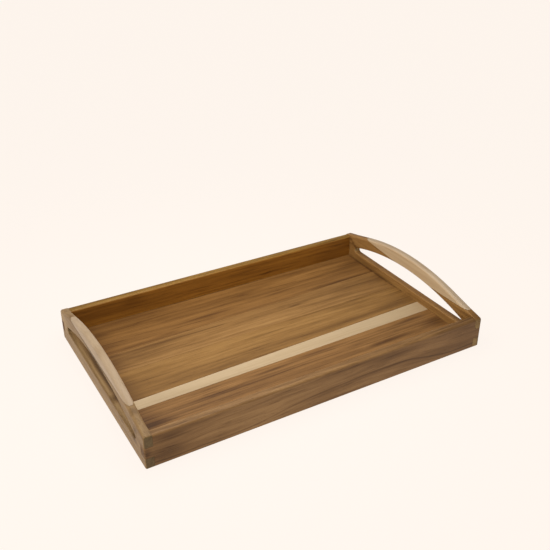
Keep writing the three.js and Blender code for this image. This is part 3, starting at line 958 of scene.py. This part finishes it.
BACKGROUND = (1.0, 0.922, 0.855)
STUDIO_GLOW = 0.967
STUDIO_REFLECTS = 0.05
STUDIO_ROUGHNESS = 0.9
STUDIO_REACH = 30.0

# The surround's glow at the horizon, and from directions with this much of Z in them upwards.
HORIZON_GLOW = 0.80
ZENITH_GLOW = 0.30
ZENITH_HEIGHT = 0.7

CAMERA_AZIMUTH = math.radians(-30.075)
CAMERA_ELEVATION = math.radians(28.937)
CAMERA_LENS = 50.50
SENSOR_WIDTH = 36.0
CAMERA_DISTANCE = 1.2921
CAMERA_AIM = Vector((0.1063, 0.1666, 0.0))


def add_camera():
    """A camera that looks at the aim point from this azimuth, elevation and distance."""
    data = bpy.data.cameras.new("camera")
    data.lens = CAMERA_LENS
    data.sensor_width = SENSOR_WIDTH
    camera = bpy.data.objects.new("camera", data)
    back = Vector((
        math.sin(CAMERA_AZIMUTH) * math.cos(CAMERA_ELEVATION),
        -math.cos(CAMERA_AZIMUTH) * math.cos(CAMERA_ELEVATION),
        math.sin(CAMERA_ELEVATION),
    ))
    camera.location = CAMERA_AIM + back * CAMERA_DISTANCE
    camera.rotation_mode = "QUATERNION"
    camera.rotation_quaternion = (-back).to_track_quat("-Z", "Y")
    bpy.context.scene.collection.objects.link(camera)
    bpy.context.scene.camera = camera


def add_studio_floor():
    """A wide pale floor. It glows, so that the tray's shadow on it stays faint."""
    reach = STUDIO_REACH / MM
    floor = add_object(
        "studio_floor",
        [(-reach, -reach, 0), (reach, -reach, 0), (reach, reach, 0), (-reach, reach, 0)],
        [(0, 1, 2, 3)],
    )
    material = bpy.data.materials.new("studio_floor")
    t = Tree(material)
    shader = t.add("ShaderNodeBsdfPrincipled", {
        "Base Color": tuple(STUDIO_REFLECTS * c for c in BACKGROUND) + (1.0,),
        "Roughness": STUDIO_ROUGHNESS, "Specular IOR Level": 0.0,
        "Emission Color": (*BACKGROUND, 1.0), "Emission Strength": STUDIO_GLOW,
    })
    t.add("ShaderNodeOutputMaterial", {"Surface": shader.outputs["BSDF"]})
    floor.data.materials.append(material)


def add_world():
    """A soft pale surround, brightest at the horizon."""
    world = bpy.data.worlds.new("surround")
    bpy.context.scene.world = world
    t = Tree(world)
    direction = t.add("ShaderNodeTexCoord").outputs["Generated"]
    glow = t.add("ShaderNodeMapRange", {
        "Value": t.parts(direction)["Z"], "From Max": ZENITH_HEIGHT,
        "To Min": HORIZON_GLOW, "To Max": ZENITH_GLOW,
    })
    background = t.add("ShaderNodeBackground", {
        "Color": (*BACKGROUND, 1.0), "Strength": glow.outputs["Result"],
    })
    t.add("ShaderNodeOutputWorld", {"Surface": background.outputs["Background"]})


def add_softbox(name, direction, distance, size, power):
    """A square area light that faces the tray from this direction."""
    data = bpy.data.lights.new(name, "AREA")
    data.shape = "SQUARE"
    data.size = size
    data.energy = power
    light = bpy.data.objects.new(name, data)
    towards = Vector(direction).normalized()
    light.location = towards * distance
    light.rotation_mode = "QUATERNION"
    light.rotation_quaternion = towards.to_track_quat("Z", "Y")
    light.visible_camera = False
    bpy.context.scene.collection.objects.link(light)


# --------------------------------------------------------------------------------------------
# Assembly


def add_piece(piece, node):
    """Finishes a piece that replaces this CAD node."""
    look = LOOKS[node]
    finish_surface(piece)
    piece.data.materials.clear()
    piece.data.materials.append(wood_material(node + "_wood", look))
    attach(piece, "root")
    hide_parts(node)


def right_line_turned():
    """The right glue line in the right panel's own frame, which is turned half round."""
    return {**RIGHT_GLUE_LINE, "lowest_y": -RIGHT_GLUE_LINE["lowest_y"]}


def build_tray():
    """All the tray's pieces, each under its CAD node's name."""
    for name, maker in (("end_board", make_end_board), ("handle_cap", make_handle_cap)):
        left = maker(f"left_{name}_wood", LEFT_GLUE_LINE, -HALF_LENGTH, False)
        add_piece(left, f"left_{name}")
        right = maker(f"right_{name}_wood", right_line_turned(), HALF_LENGTH, True)
        add_piece(right, f"right_{name}")
    add_piece(make_long_wall("front_wall_wood", -HALF_WIDTH, False), "front_wall")
    add_piece(make_long_wall("back_wall_wood", HALF_WIDTH, True), "back_wall")
    for node in sorted(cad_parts):
        if node.startswith("floor_"):
            add_piece(make_floor_board(node + "_wood", node), node)


build_tray()
add_studio_floor()
add_world()
add_softbox("key", direction=(-0.05, 0.01, 0.46), distance=0.463, size=0.42, power=2.3)
add_softbox("side", direction=(-1.0, -0.15, 0.45), distance=1.1, size=0.7, power=3.8)
add_camera()
bpy.context.scene.view_settings.view_transform = "Standard"
